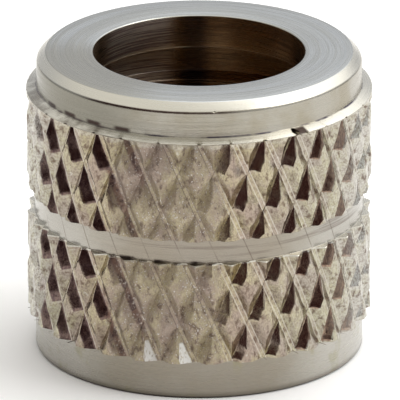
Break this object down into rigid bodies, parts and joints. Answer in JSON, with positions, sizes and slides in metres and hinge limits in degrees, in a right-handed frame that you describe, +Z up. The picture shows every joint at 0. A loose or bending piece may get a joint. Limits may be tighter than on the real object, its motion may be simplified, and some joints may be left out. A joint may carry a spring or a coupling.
{
  "type": "union nut",
  "caption": "Round union nut with diamond-knurled bands either side of a narrow waist, a plain-bore lip at the top and a threaded socket opening below.",
  "frame": {"origin": "centre of the flat bottom face, where the thread opens", "axes": "+Z runs up the bore from the threaded mouth to the lip; -Y faces the side shown in the picture"},
  "size_m": [0.0168, 0.0168, 0.015],
  "materials": {
    "plated_brass": "bright nickel plate over turned and knurled brass"
  },
  "bodies": {
    "root": {"union_nut": "plated_brass"}
  },
  "joints": []
}
